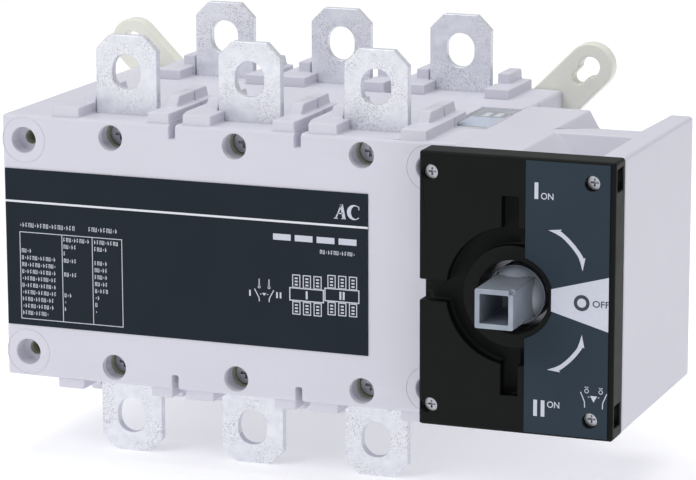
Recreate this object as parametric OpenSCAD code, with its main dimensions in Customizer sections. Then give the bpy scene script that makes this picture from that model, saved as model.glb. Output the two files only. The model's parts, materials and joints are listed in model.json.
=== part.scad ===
// Three-pole changeover switch: two load-break switches, one behind the other, worked by one
// mechanism at their right-hand end. Lengths are in millimetres and angles in degrees.
// Sizes are stated in the switch's own coordinates: x from the left end of the case,
// y from its front face towards the wall, z up from its underside. in_frame() then moves the
// whole switch so that the origin is the middle of the wall plane, with the front facing -Y.

/* [Case] */
// Width of the moulded case of each switch
case_w = 182; // [180:1:184]
// Height of the case, without the terminals
case_h = 101; // [98:1:106]
// Depth of one switch, front to back
switch_d = 63.5; // [62:0.5:66]
// Thickness of the case walls
wall = 3; // [2.6:0.1:3.2]
// Radius of the case's outer edges
edge_r = 1.5; // [0.8:0.1:2.5]
// Width of the end space left of the first pole
end_w = 20; // [19:0.5:21]
// Distance between poles
pole_pitch = 50; // [50:0.5:50.5]

/* [Terminals] */
// Width of a terminal bar
bar_w = 25; // [22:0.5:26]
// Thickness of a terminal bar
bar_t = 3.5; // [3:0.1:4]
// How far a bar stands out above or below the case
bar_out = 30; // [27:0.5:34]
// Distance from the front of the case to the front of a bar
bar_y = 15; // [14.5:0.1:15.5]
// Width of the oblong terminal hole
hole_w = 11.5; // [9:0.5:12]
// Height of the oblong terminal hole
hole_h = 13.5; // [12.5:0.5:15]
// Distance from the end of a bar to the middle of its hole
hole_in = 14; // [12:0.5:15]
// Size of the cut corners of a bar
bar_cut = 5.6; // [3:0.2:6]

/* [Contacts] */
// Distance from the rotor's axis to the middle of a contact tip
tip_arm = 16; // [15:0.5:17]
// Radius of the insulating drum that carries a moving contact
drum_r = 11; // [10:0.5:11.5]
// Radius of the rotor's journals
journal_r = 7; // [6:0.5:7.5]
// Running clearance of a journal in its wall, on the radius
journal_gap = 0.08; // [0.04:0.01:0.1]
// How far a rotor stands away from its closed contacts at rest
rest_tilt = 45; // [45:1:45]

/* [Mechanism] */
// Right-hand end of the mechanism, from the left end of the case
mech_x = 245.5; // [244:0.5:248]
// Depth of the mechanism housing behind the front of the case
mech_d = 84.5; // [84:0.5:85.5]
// Position of the drive shaft, from the left end of the case
shaft_x = 208; // [208:0.5:208.5]
// Radius of the drive shaft
shaft_r = 5; // [4.5:0.5:5]
// Outer side of the square handle socket
socket_w = 14.2; // [13.5:0.1:15]
// Inner side of the square handle socket
socket_in = 10.4; // [10.2:0.1:10.6]
// How far the socket stands in front of the cover
socket_out = 21; // [18:1:25]
// Pitch radius of a drive pinion; its rotor gear is twice as large
pinion_r = 9; // [9:0.5:9]

/* [Front cover] */
// Thickness of the black front cover
cover_t = 11.4; // [10:0.2:13]
// Gap between the front of the case and the back of the cover
cover_gap = 4.3; // [4:0.1:5]
// Outer radius of the ring groove round the socket
ring_r = 25; // [23:0.5:26]

/* [Feet] */
// Length of a foot, pivot to fixing hole
foot_len = 25.6; // [24:0.2:27]
// Half width of a foot
foot_r = 9.3; // [8.5:0.1:9.5]
// Thickness of a foot
foot_t = 7; // [6.4:0.2:8]
// Gap between the back of the case and the wall
wall_gap = 4; // [3:0.2:5]

/* [Hidden] */
mid_z = case_h / 2;
split_y = switch_d / 2;
overall_d = 2 * switch_d;
overall_w = mech_x;
wall_y = overall_d + wall_gap;
poles = [for (i = [0 : 2]) end_w + pole_pitch * (i + 0.5)];
bounds_x = [for (i = [0 : 3]) end_w + pole_pitch * i];
skin = 2.5;                         // walls that don't carry a bearing
seam = 0.6;                         // width and depth of the line between two shells
// holes through the corners of the case
corner_left = 9;
corner_right = 171;
corner_z = 9.5;
corner_r = 2.7;
corner_head_r = 4.9;
corner_head_d = 7;
// screws that hold the terminals, one above and one below in each pole
pole_screw_z = 6.5;
pole_screw_r = 4.85;
pole_screw_d = 12.5;
// lips and ridges either side of the slot for a phase barrier
barrier_slot = 3.6;
barrier_groove = 2.5;
barrier_deep = 5.5;
lip_h = 3.8;
ridge_h = 7.8;
ridge_end = 45;
// contacts
blade_t = 3;
blade_w = 14;
tip_t = 1.2;
tip_r = 3.2;
contact_gap = 0.1;
leaf_t = 0.6;
fixed_y = blade_t / 2 + 2 * tip_t + contact_gap;   // rotor axis to the face of a fixed contact
jog_z = case_h - 17;                // underside of the step in a terminal bar
// gears: cones whose points meet on the drive shaft
gear_r = 2 * pinion_r;
gear_teeth = 24;
pinion_teeth = 12;
gear_face = 0.3;                    // share of the cone's length that carries teeth
tooth_top = 0.35;                   // height of a tooth above its pitch cone
tooth_root = 0.75;                  // depth of the gaps below it
rotor_end_x = shaft_x - pinion_r;
// mechanism
mech_z0 = 1;
mech_z1 = case_h;
tower_x = 207;
valley_x = 230;
valley_wall_x = 236.7;
valley_z = 80;
valley_y0 = 27;                     // front foot of the valley's back slope, and its top edge
valley_y1 = 35;
ledge_y = 44;                       // behind this line the housing's top slopes down to ledge_z
ledge_z = 94;
rear_box_x = 219;
rear_box_y = 117;
rear_box_h = 47;
collar_r = 10.8;
stop_r = 16;
stop_lug_r = 21;
stop_y = 51;
stop_t = 4;
stop_pin_r = 2;
stop_pin_arm = 20;
stop_angle = 104.7;
plate_t = 3;
plate_screw_x = [190, 228];
plate_screw_z = [12, 68];
bush_r = 8;
// cover
cover_x0 = 172.8;
cover_z0 = 0.8;
cover_h = 100.2;
cover_y0 = -cover_gap - cover_t;
cover_skin = 3;
cover_hole_r = 13.2;
ring_in_r = 18.5;
ring_d = 7;
plate_x0 = 212.6;
plate_x1 = 243.4;
cover_screw_x = [176.9, 236.9];
cover_screw_z = [8, 93.2];
// position window over the right end of the case
win_x0 = 165;
win_x1 = 180.6;
win_y0 = 34.5;
win_y1 = 78;
win_floor = 94.6;
slide_travel = 6;
// feet
foot_pivot = [15.2, 174.8];
foot_pivot_z = 8.5;
foot_gap = 0.3;
pocket_y = wall_y - foot_t - foot_gap;
foot_screw_r = 2.6;
keyhole_r = 4;
keyhole_slot_r = 2.5;
tie_end_y = 110;
pad_h = 12;

// ---- helpers ----
module in_frame() {
    translate([-overall_w / 2, -wall_y, -mid_z]) children();
}

// the rear switch is the front one turned to face the wall
module at_rear() {
    translate([0, overall_d, 0]) mirror([0, 1, 0]) children();
}

// the lower half of the case repeats the upper one
module upside_down() {
    translate([0, 0, case_h]) mirror([0, 0, 1]) children();
}

module box(x0, x1, y0, y1, z0, z1) {
    translate([x0, y0, z0]) cube([x1 - x0, y1 - y0, z1 - z0]);
}

module rod_y(x, z, r, y0, y1) {
    translate([x, y0, z]) rotate([-90, 0, 0]) cylinder(r = r, h = y1 - y0, $fn = 64);
}

module rod_x(y, z, r, x0, x1) {
    translate([x0, y, z]) rotate([0, 90, 0]) cylinder(r = r, h = x1 - x0, $fn = 64);
}

module round_rect(w, h, r) {
    translate([r, 0]) square([w - 2 * r, h]);
    translate([0, r]) square([w, h - 2 * r]);
    for (x = [r, w - r]) for (y = [r, h - r]) translate([x, y]) circle(r = r, $fn = 32);
}

// block between two depths with its four long edges rounded
module round_block(x0, x1, y0, y1, z0, z1, r) {
    translate([x0, y1, z0]) rotate([90, 0, 0]) linear_extrude(y1 - y0) round_rect(x1 - x0, z1 - z0, r);
}

// the same block with the edges of its front face rounded too
module round_front_block(x0, x1, y0, y1, z0, z1, r) {
    intersection() {
        round_block(x0, x1, y0, y1, z0, z1, r);
        translate([x0, y0, z0]) linear_extrude(z1 - z0) round_rect(x1 - x0, y1 - y0 + 2 * r, r);
        translate([x0, y0, z0]) rotate([90, 0, 90]) linear_extrude(x1 - x0)
            round_rect(y1 - y0 + 2 * r, z1 - z0, r);
    }
}

// ---- case shells ----
// lips before the terminals; between two poles they flank the slot for a phase barrier
module barrier_lips(y0, y1) {
    z0 = case_h - 1;
    z1 = case_h + lip_h;
    half = barrier_slot / 2;
    box(bounds_x[0] + 0.7, bounds_x[0] + 11.5, y0, y1, z0, z1);
    box(bounds_x[3] - 10.5, bounds_x[3] - 0.4, y0, y1, z0, z1);
    for (b = [bounds_x[1], bounds_x[2]]) {
        box(b - 10.5, b - half, y0, y1, z0, z1);
        translate([b, 0, z0]) linear_extrude(z1 - z0)
            polygon([[half + 2, y0], [15, y0], [15, y1], [half, y1], [half, y0 + 8]]);
    }
}

// ridge beside a terminal; its front slopes back by rise and its end by fall
module ridge(x0, x1, y0, y1, rise, fall) {
    translate([x0, 0, case_h]) rotate([90, 0, 90]) linear_extrude(x1 - x0) polygon([[y0, -1], [y1, -1],
        [y1, lip_h], [y1 - fall, ridge_h], [y0 + rise, ridge_h], [y0, lip_h]]);
}

module barrier_ridges(y0, y1, rise, fall) {
    half = barrier_slot / 2;
    for (b = bounds_x) {
        gap = b == bounds_x[1] || b == bounds_x[2] ? half : 0.4;
        if (b > end_w) {
            box(b - 9.5, b - gap, y0, y1, case_h - 1, case_h + lip_h);
            ridge(b - 9.5, b - 4.5, y0, y1, rise, fall);
        }
        if (b < end_w + 3 * pole_pitch) {
            box(b + gap, b + 12, y0, y1, case_h - 1, case_h + lip_h);
            ridge(b + 7, b + 12, y0, y1, rise, fall);
        }
    }
}

// grooves for the phase barriers, cut in the case below the gap between the lips
module barrier_slots(y0, y1) {
    for (b = [bounds_x[1], bounds_x[2]])
        box(b - barrier_groove / 2, b + barrier_groove / 2, y0, y1, case_h - barrier_deep, case_h + 1);
}

// what stays solid inside the shells between two depths
module inner_solids(y0, y1) {
    for (x = [corner_left, corner_right]) for (z = [corner_z, case_h - corner_z])
        rod_y(x, z, 7.5, y0, y1);
    for (b = bounds_x) for (z = [0, case_h - wall - 4])
        box(b - 3.6, b + 3.6, y0, y1, z, z + wall + 4);
}

// the hollows of one shell: one for each pole and one in each end
module chambers(y0, y1) {
    for (p = poles) box(p - pole_pitch / 2 + wall / 2, p + pole_pitch / 2 - wall / 2, y0, y1,
        wall, case_h - wall);
    box(wall, end_w - wall / 2, y0, y1, wall, case_h - wall);
    box(end_w + 3 * pole_pitch + wall / 2, case_w - wall, y0, y1, mid_z - 28, mid_z + 28);
}

module rotor_bore() {
    rod_x(split_y, mid_z, journal_r + journal_gap, end_w - 3, case_w + 10);
}

module corner_bores(y0, y1) {
    for (x = [corner_left, corner_right]) for (z = [corner_z, case_h - corner_z])
        rod_y(x, z, corner_r, y0, y1);
}

module bar_slots() {
    for (p = poles) box(p - bar_w / 2 - 0.25, p + bar_w / 2 + 0.25, bar_y - 0.25, bar_y + bar_t + 0.25,
        case_h - wall - 1, case_h + 1);
}

// shell that carries the terminals, in the front switch's place; its corner bores start at bore_y,
// and its right-hand edges are left square if the mechanism adjoins them
module terminal_shell(bore_y, square) {
    difference() {
        union() {
            round_front_block(0, case_w, 0, split_y, 0, case_h, edge_r);
            if (square) box(case_w - 2 * edge_r, case_w, edge_r, split_y, 0, case_h);
            children();
        }
        difference() {
            chambers(skin, split_y + 1);
            inner_solids(0, split_y + 1);
            for (p = poles) for (z = [pole_screw_z, case_h - pole_screw_z])
                box(p - 9, p + 9, 0, bar_y, z - 7.5, z + 7.5);
        }
        for (p = poles) for (z = [pole_screw_z, case_h - pole_screw_z]) {
            rod_y(p, z, pole_screw_r, -1, pole_screw_d);
            rod_y(p, z, 2.2, 0, bar_y + 1);
        }
        corner_bores(bore_y, split_y + 1);
        bar_slots();
        upside_down() bar_slots();
        rotor_bore();
    }
}

module front_switch_cover() {
    color("gainsboro") in_frame() difference() {
        terminal_shell(-1, true) {
            barrier_lips(edge_r, bar_y);
            barrier_ridges(bar_y, split_y, 3, 0);
            upside_down() {
                barrier_lips(edge_r, bar_y);
                barrier_ridges(bar_y, split_y, 3, 0);
            }
        }
        barrier_slots(-1, split_y + 1);
        upside_down() barrier_slots(-1, split_y + 1);
        for (x = [corner_left, corner_right]) for (z = [corner_z, case_h - corner_z])
            rod_y(x, z, corner_head_r, -1, corner_head_d);
        bar_slots();
        upside_down() bar_slots();
    }
}

// shell behind the rotor; its front edge is set back a little so that the seam shows
module base_shell(square) {
    difference() {
        union() {
            round_block(0, case_w, split_y + seam, switch_d, 0, case_h, edge_r);
            round_block(seam, case_w - seam, split_y, switch_d, seam, case_h - seam, edge_r);
            if (square) box(case_w - 2 * edge_r, case_w, split_y + seam, switch_d, 0, case_h);
            children();
        }
        difference() {
            chambers(split_y - 1, switch_d - skin);
            inner_solids(split_y - 1, switch_d);
        }
        corner_bores(split_y - 1, switch_d + 1);
        rotor_bore();
    }
}

module window_pocket() {
    box(win_x0, win_x1, win_y0, win_y1, win_floor, case_h + 1);
}

module front_switch_base() {
    color("gainsboro") in_frame() difference() {
        base_shell(true) {
            barrier_ridges(split_y + seam, ridge_end, 0, 2);
            upside_down() barrier_ridges(split_y + seam, ridge_end, 0, 2);
        }
        barrier_slots(split_y - 1, ridge_end - 5);
        upside_down() barrier_slots(split_y - 1, ridge_end - 5);
        window_pocket();
    }
}

module rear_switch_base() {
    color("gainsboro") in_frame() difference() {
        at_rear() base_shell(false);
        window_pocket();
    }
}

// pivot place of each foot: side is 0 at the left and 1 at the right, top is 0 below and 1 above
function foot_z(top) = top == 1 ? case_h - foot_pivot_z : foot_pivot_z;

module foot_pockets() {
    reach = foot_r + foot_gap;
    for (x = [[-1, foot_pivot[0] + reach], [foot_pivot[1] - reach, case_w + 1]]) {
        box(x[0], x[1], pocket_y, wall_y, -2 * ridge_h, foot_pivot_z + reach);
        box(x[0], x[1], pocket_y, wall_y, case_h - foot_pivot_z - reach, case_h + 2 * ridge_h);
    }
}

module foot_bosses() {
    for (x = foot_pivot) for (top = [0, 1]) rod_y(x, foot_z(top), 6, pocket_y - 12.5, pocket_y);
}

module rear_switch_cover() {
    bar_front = overall_d - bar_y - bar_t;
    rear_y0 = overall_d - split_y;
    color("gainsboro") in_frame() difference() {
        union() {
            at_rear() terminal_shell(overall_d - tie_end_y - 0.5, false);
            barrier_lips(rear_y0, bar_front);
            barrier_ridges(bar_front, overall_d - 2, 0, 2);
            upside_down() {
                barrier_lips(rear_y0, bar_front);
                barrier_ridges(bar_front, overall_d - 2, 0, 2);
            }
            foot_bosses();
            box(bounds_x[0], bounds_x[3], overall_d - 1, wall_y, mid_z - pad_h / 2, mid_z + pad_h / 2);
        }
        barrier_slots(rear_y0 - 1, overall_d + 1);
        upside_down() barrier_slots(rear_y0 - 1, overall_d + 1);
        foot_pockets();
        for (x = foot_pivot) for (top = [0, 1]) rod_y(x, foot_z(top), 2.3, pocket_y - 11, pocket_y + 1);
        for (z = [corner_z, case_h - corner_z]) rod_y(corner_left, z, corner_r, rear_y0 - 1, wall_y);
        at_rear() {
            bar_slots();
            upside_down() bar_slots();
        }
    }
}

// front label over the pole chambers
module rating_label() {
    color("darkslategray") in_frame() box(1, 147.6, -0.4, 0, 20, 80.4);
}

// ---- terminals and contacts ----
// a stepped bar: inner_y is the front of its inner leg, inner_z the end of that leg
module terminal_bar(p, inner_y, inner_z) {
    top = case_h + bar_out;
    hole_z = top - hole_in;
    reach = (hole_h - hole_w) / 2;
    difference() {
        intersection() {
            translate([p - bar_w / 2, 0, 0]) rotate([90, 0, 90]) linear_extrude(bar_w) union() {
                translate([bar_y, jog_z]) square([bar_t, top - jog_z]);
                translate([bar_y, jog_z]) square([inner_y + bar_t - bar_y, bar_t]);
                translate([inner_y, inner_z]) square([bar_t, jog_z + bar_t - inner_z]);
            }
            translate([p, switch_d, 0]) rotate([90, 0, 0]) linear_extrude(switch_d) polygon([
                [-bar_w / 2, inner_z], [bar_w / 2, inner_z], [bar_w / 2, top - bar_cut],
                [bar_w / 2 - bar_cut, top], [-bar_w / 2 + bar_cut, top], [-bar_w / 2, top - bar_cut]]);
        }
        for (s = [-1, 1]) rod_y(p, hole_z + s * reach, hole_w / 2, bar_y - 1, bar_y + bar_t + 1);
        box(p - hole_w / 2, p + hole_w / 2, bar_y - 1, bar_y + bar_t + 1, hole_z - reach, hole_z + reach);
        rod_y(p, case_h - pole_screw_z, 2.1, bar_y - 1, bar_y + bar_t + 1);
    }
}

module top_bars() {
    for (p = poles) terminal_bar(p, split_y - fixed_y - bar_t, mid_z + tip_arm - 4);
}

module bottom_bars() {
    upside_down() for (p = poles) terminal_bar(p, split_y + fixed_y, mid_z + tip_arm - 4);
}

module front_top_terminals() {
    color("silver") in_frame() top_bars();
}

module front_bottom_terminals() {
    color("silver") in_frame() bottom_bars();
}

module rear_top_terminals() {
    color("silver") in_frame() at_rear() top_bars();
}

module rear_bottom_terminals() {
    color("silver") in_frame() at_rear() bottom_bars();
}

module fixed_tips() {
    for (p = poles) {
        rod_y(p, mid_z + tip_arm, tip_r, split_y - fixed_y, split_y - fixed_y + tip_t);
        rod_y(p, mid_z - tip_arm, tip_r, split_y + fixed_y - tip_t, split_y + fixed_y);
    }
}

module front_fixed_contacts() {
    color("lightgray") in_frame() fixed_tips();
}

module rear_fixed_contacts() {
    color("lightgray") in_frame() at_rear() fixed_tips();
}

// the rotor's parts are drawn closed, with the contacts upright, then tilted open
module tilted() {
    translate([0, split_y, mid_z]) rotate([-rest_tilt, 0, 0]) children();
}

module rotor_drum() {
    tilted() difference() {
        union() {
            rod_x(0, 0, journal_r, end_w - 2.5, case_w + 0.5);
            rod_x(0, 0, 6, case_w, rotor_end_x - 3);
            for (p = poles) rod_x(0, 0, drum_r, p - 20, p + 20);
        }
        for (p = poles) box(p - blade_w / 2 - 0.1, p + blade_w / 2 + 0.1,
            -blade_t / 2 - 2 * leaf_t, blade_t / 2 + 2 * leaf_t, -drum_r - 1, drum_r + 1);
    }
}

module moving_blades() {
    tilted() for (p = poles) {
        box(p - blade_w / 2, p + blade_w / 2, -blade_t / 2, blade_t / 2, -tip_arm - 3.5, tip_arm + 3.5);
        rod_y(p, tip_arm, tip_r, -blade_t / 2 - tip_t, 0);
        rod_y(p, -tip_arm, tip_r, 0, blade_t / 2 + tip_t);
    }
}

// bowed leaf springs that press each moving contact, one either side
module leaf_springs() {
    half = drum_r - 2;
    bow_r = (half * half + leaf_t * leaf_t) / (2 * leaf_t);
    tilted() for (p = poles) for (s = [0, 1]) mirror([0, s, 0])
        translate([p - 6, blade_t / 2 + bow_r + leaf_t, 0]) rotate([90, 0, 90]) linear_extrude(12)
            intersection() {
                difference() {
                    circle(r = bow_r + leaf_t, $fn = 256);
                    circle(r = bow_r, $fn = 256);
                }
                translate([-bow_r - 2, -half]) square([bow_r, 2 * half]);
            }
}

// a bevel wheel about +Z: its large end is at the origin and its cone's point is at height tip;
// turned half a tooth if its meshing side is to meet a gap
module bevel_wheel(r, tip, teeth, back, half_turn) {
    face = tip * gear_face;
    r1 = r * (1 - gear_face);
    slope = atan2(r - r1, face);
    slant = face / cos(slope);
    root = tooth_root / cos(slope);
    width = 0.62 * PI * r1 / teeth;
    translate([0, 0, -back]) cylinder(r = r - root, h = back, $fn = 96);
    cylinder(r1 = r - root, r2 = r1 - root, h = face, $fn = 96);
    for (i = [0 : teeth - 1]) rotate((i + half_turn) * 360 / teeth) translate([r - root, 0, 0])
        rotate([0, -slope, 0]) translate([-0.5, -width / 2, 0.02 * slant])
            cube([0.5 + tooth_root + tooth_top, width, slant * 0.94]);
}

module rotor_gear() {
    difference() {
        union() {
            translate([rotor_end_x, split_y, mid_z]) rotate([0, 90, 0])
                bevel_wheel(gear_r, pinion_r, gear_teeth, 3, 0.5);
            rod_x(split_y, mid_z, bush_r, case_w + 4.5, rotor_end_x);
        }
        rod_x(split_y, mid_z, 6, case_w, rotor_end_x - 3);
    }
}

module front_rotor() {
    color("saddlebrown") in_frame() rotor_drum();
}

module front_moving_contacts() {
    color("peru") in_frame() moving_blades();
}

module front_contact_springs() {
    color("dimgray") in_frame() leaf_springs();
}

module front_rotor_gear() {
    color("darkgray") in_frame() rotor_gear();
}

module rear_rotor() {
    color("saddlebrown") in_frame() at_rear() rotor_drum();
}

module rear_moving_contacts() {
    color("peru") in_frame() at_rear() moving_blades();
}

module rear_contact_springs() {
    color("dimgray") in_frame() at_rear() leaf_springs();
}

module rear_rotor_gear() {
    color("darkgray") in_frame() at_rear() rotor_gear();
}

// splitter plates fan out behind each pair of contacts, held between two cheeks
arc_in = tip_arm + 5.5;
arc_out = tip_arm + 15;
arc_angles = [for (i = [0 : 3]) 20 + 12 * i];

module arc_fan() {
    for (p = poles) for (a = arc_angles) for (s = [0, 180]) translate([p, split_y, mid_z])
        rotate([-a - s, 0, 0]) box(-17, 17, -0.6, 0.6, arc_in, arc_out);
}

module arc_sides() {
    for (p = poles) for (side = [-23.5, 17]) for (s = [0, 180]) translate([p + side, split_y, mid_z])
        rotate([-s, 0, 0]) rotate([90, 0, 90]) linear_extrude(6.5) polygon(concat(
            [for (a = [16 : 5 : 61]) arc_out * [sin(a), cos(a)]],
            [for (a = [61 : -5 : 16]) arc_in * [sin(a), cos(a)]]));
}

module front_arc_plates() {
    color("slategray") in_frame() arc_fan();
}

module rear_arc_plates() {
    color("slategray") in_frame() at_rear() arc_fan();
}

module front_arc_cheeks() {
    color("burlywood") in_frame() arc_sides();
}

module rear_arc_cheeks() {
    color("burlywood") in_frame() at_rear() arc_sides();
}

// ---- fasteners of the case ----
// a cross-recessed cheese head with its shank, pointing towards +Y from the front of its head
module screw_y(x, z, y0, head_r, head_h, shank_r, length) {
    difference() {
        union() {
            rod_y(x, z, head_r, y0, y0 + head_h);
            rod_y(x, z, shank_r, y0, y0 + head_h + length);
        }
        for (a = [0, 90]) translate([x, y0, z]) rotate([0, a, 0])
            box(-0.55 * head_r, 0.55 * head_r, -1, 0.55 * head_h, -0.14 * head_r, 0.14 * head_r);
    }
}

module pole_screws() {
    for (p = poles) for (z = [pole_screw_z, case_h - pole_screw_z])
        screw_y(p, z, pole_screw_d - 3, 4, 3, 2, 6);
}

module terminal_screws() {
    color("silver") in_frame() {
        pole_screws();
        at_rear() pole_screws();
    }
}

module tie_bolts() {
    color("silver") in_frame() for (z = [corner_z, case_h - corner_z])
        screw_y(corner_right, z, corner_head_d - 4, 4.4, 4, 2.5, tie_end_y - corner_head_d);
}

// ---- mechanism housing ----
// solid between two depths with the given outline in x and z
module along_y(y0, y1, outline) {
    translate([0, y1, 0]) rotate([90, 0, 0]) linear_extrude(y1 - y0) polygon(outline);
}

// solid between two places along x with the given outline in y and z
module along_x(x0, x1, outline) {
    translate([x0, 0, 0]) rotate([90, 0, 90]) linear_extrude(x1 - x0) polygon(outline);
}

// hollow between the tower over the drive and the right-hand wing, and the slope behind it
module valley() {
    y0 = -cover_gap - 1;
    above = mech_z1 + 2;
    intersection() {
        along_y(y0, valley_y1, [[tower_x, above], [tower_x, mech_z1], [valley_x, valley_z],
            [valley_wall_x, valley_z], [valley_wall_x, above]]);
        along_x(tower_x - 1, mech_x, [[y0, above], [y0, valley_z - 1], [valley_y0, valley_z - 1],
            [valley_y0, valley_z], [valley_y1, mech_z1], [valley_y1, above]]);
    }
    intersection() {
        along_y(ledge_y, mech_d + 1, [[tower_x - 1.5, above], [tower_x - 1.5, mech_z1],
            [tower_x + 2.5, ledge_z], [tower_x + 3, ledge_z - 2], [valley_wall_x, ledge_z - 2],
            [valley_wall_x, above]]);
        along_x(tower_x - 2, mech_x, [[ledge_y, above], [ledge_y, mech_z1], [mech_d, ledge_z],
            [mech_d + 1, ledge_z], [mech_d + 1, above]]);
    }
}

// the rooms inside the housing, stepped to follow the valley
module mechanism_room() {
    y0 = -cover_gap - 1;
    y1 = mech_d - skin;
    low_z = mech_z0 + skin;
    box(case_w + skin, tower_x - 3, y0, y1, low_z, mech_z1 - skin);
    box(tower_x - 4, valley_wall_x - 1, y0, y1, low_z, valley_z - skin);
    box(tower_x - 4, tower_x + 7, y0, y1, low_z, valley_z + 8);
    box(tower_x - 4, valley_wall_x - 1, valley_y1 + 3, y1, low_z, ledge_z - skin);
    box(valley_wall_x + skin, mech_x - skin, y0, y1, low_z, mech_z1 - skin);
}

module mechanism_housing() {
    in_y0 = -cover_gap - 1;
    in_y1 = mech_d - skin;
    color("gainsboro") in_frame() difference() {
        union() {
            difference() {
                union() {
                    round_block(case_w, mech_x, -cover_gap, mech_d, mech_z0, mech_z1, edge_r);
                    box(case_w, case_w + 3, -cover_gap, mech_d, mech_z1 - 3, mech_z1);
                    box(cover_x0 + 1, case_w + 3, -cover_gap, 0, mech_z0 + 1, mech_z1 - 1);
                }
                valley();
            }
            rod_y(cover_screw_x[1], cover_screw_z[1], 4, -cover_gap, 4);
        }
        difference() {
            mechanism_room();
            for (x = cover_screw_x) for (z = cover_screw_z)
                rod_y(x, z, 4.5, in_y0, 12);
            for (z = [stop_pin_arm, -stop_pin_arm]) rod_y(shaft_x + stop_pin_arm * cos(stop_angle),
                mid_z + z * sin(stop_angle), stop_pin_r + 1.6, in_y1 - 6, in_y1 + 1);
            for (x = plate_screw_x) for (z = plate_screw_z) rod_y(x, z, 4, plate_t, in_y1);
        }
        box(cover_x0, case_w - 0.01, -0.01, mech_d, mech_z0, mech_z1);
        rod_x(split_y, mid_z, bush_r + 1, case_w - 1, case_w + skin + 1);
        rod_y(shaft_x, mid_z, pinion_r + 2, in_y1 - 1, mech_d + 1);
        box(case_w + skin, rotor_end_x + 4.5, in_y1 - 1, mech_d + 1, mid_z - 16.5, mid_z + 16.5);
        for (x = cover_screw_x) for (z = cover_screw_z) rod_y(x, z, 1.6, in_y0, 10);
        for (x = plate_screw_x) for (z = plate_screw_z) rod_y(x, z, 1.6, 0, 14);
        for (s = [-1, 1]) rod_y(shaft_x + stop_pin_arm * cos(stop_angle),
            mid_z + s * stop_pin_arm * sin(stop_angle), stop_pin_r, in_y1 - 8, in_y1);
    }
}

// box behind the housing that closes over the rear rotor's gear
module mechanism_rear_cover() {
    x0 = case_w + 0.3;
    z0 = mid_z - rear_box_h / 2;
    z1 = mid_z + rear_box_h / 2;
    color("gainsboro") in_frame() difference() {
        round_block(x0, rear_box_x, mech_d, rear_box_y, z0, z1, edge_r);
        box(x0 + skin, rear_box_x - skin, mech_d - 1, rear_box_y - skin, z0 + skin, z1 - skin);
        translate([0, overall_d - 2 * split_y, 0]) rod_x(split_y, mid_z, bush_r + 1, x0 - 1, x0 + skin + 1);
        rod_y(shaft_x, mid_z, bush_r, rear_box_y - skin - 1, rear_box_y + 1);
    }
}

// steel plate behind the front cover that carries the front end of the drive shaft
module bearing_plate() {
    color("lightsteelblue") in_frame() difference() {
        box(case_w + skin + 0.5, cover_screw_x[1] - 5, 0, plate_t, 5, valley_z - skin - 0.5);
        rod_y(shaft_x, mid_z, bush_r, -1, plate_t + 1);
        for (x = plate_screw_x) for (z = plate_screw_z) rod_y(x, z, 1.8, -1, plate_t + 1);
    }
}

module bearing_plate_screws() {
    color("silver") in_frame() for (x = plate_screw_x) for (z = plate_screw_z)
        screw_y(x, z, -2.2, 3, 2.2, 1.55, 12);
}

module bush(y0, y1) {
    difference() {
        rod_y(shaft_x, mid_z, bush_r, y0, y1);
        rod_y(shaft_x, mid_z, shaft_r + 0.05, y0 - 1, y1 + 1);
    }
}

module front_bush() {
    color("goldenrod") in_frame() bush(-1, plate_t + 1.5);
}

module rear_bush() {
    color("goldenrod") in_frame() bush(rear_box_y - skin - 1.5, rear_box_y);
}

module stop_pins() {
    color("silver") in_frame() for (s = [-1, 1]) rod_y(shaft_x + stop_pin_arm * cos(stop_angle),
        mid_z + s * stop_pin_arm * sin(stop_angle), stop_pin_r, stop_y - 2, mech_d - skin);
}

// ---- front cover ----
module mechanism_cover() {
    back = -cover_gap;
    x1 = mech_x - 0.2;
    z1 = cover_z0 + cover_h;
    pocket_w = 6.2;
    pocket_x = shaft_x - 1.2;
    ring_deep = cover_y0 + ring_d;
    color("#1c1e1c") in_frame() difference() {
        round_front_block(cover_x0, x1, cover_y0, back, cover_z0, z1, 1.2);
        difference() {
            box(cover_x0 + skin, x1 - skin, cover_y0 + cover_skin, back + 1, cover_z0 + skin, z1 - skin);
            rod_y(shaft_x, mid_z, ring_r + 2.5, cover_y0, back);
            for (x = cover_screw_x) for (z = cover_screw_z) rod_y(x, z, 4.6, cover_y0, back);
            box(shaft_x - pocket_w, shaft_x + pocket_w, cover_y0, back, mid_z - 38.5, mid_z + 38.5);
            box(cover_x0, shaft_x, cover_y0, back, mid_z - 6, mid_z + 6);
            for (z = [cover_z0 + 3, z1 - 12.3]) box(x1 - 10, x1, cover_y0, back, z, z + 11);
        }
        difference() {
            rod_y(shaft_x, mid_z, ring_r, cover_y0 - 1, ring_deep);
            rod_y(shaft_x, mid_z, ring_in_r, cover_y0 - 2, ring_deep + 1);
            box(plate_x0, x1, cover_y0 - 2, ring_deep + 1, cover_z0, z1);
        }
        for (s = [-1, 1]) box(pocket_x - pocket_w / 2, pocket_x + pocket_w / 2, cover_y0 - 1, ring_deep,
            mid_z + s * (ring_r + 5) - 6, mid_z + s * (ring_r + 5) + 6);
        box(cover_x0 - 1, shaft_x - ring_r + 1, cover_y0 - 1, ring_deep, mid_z - 3.8, mid_z + 3.8);
        rod_y(shaft_x, mid_z, cover_hole_r, cover_y0 - 1, back + 1);
        for (x = cover_screw_x) for (z = cover_screw_z) {
            rod_y(x, z, 2.8, cover_y0 - 1, cover_y0 + 5);
            rod_y(x, z, 1.7, cover_y0, back + 1);
        }
        for (z = [cover_z0 + 4.5, z1 - 10.8]) box(x1 - 4, x1 + 1, cover_y0 + 2, back - 2.4, z, z + 8);
    }
}

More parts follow.
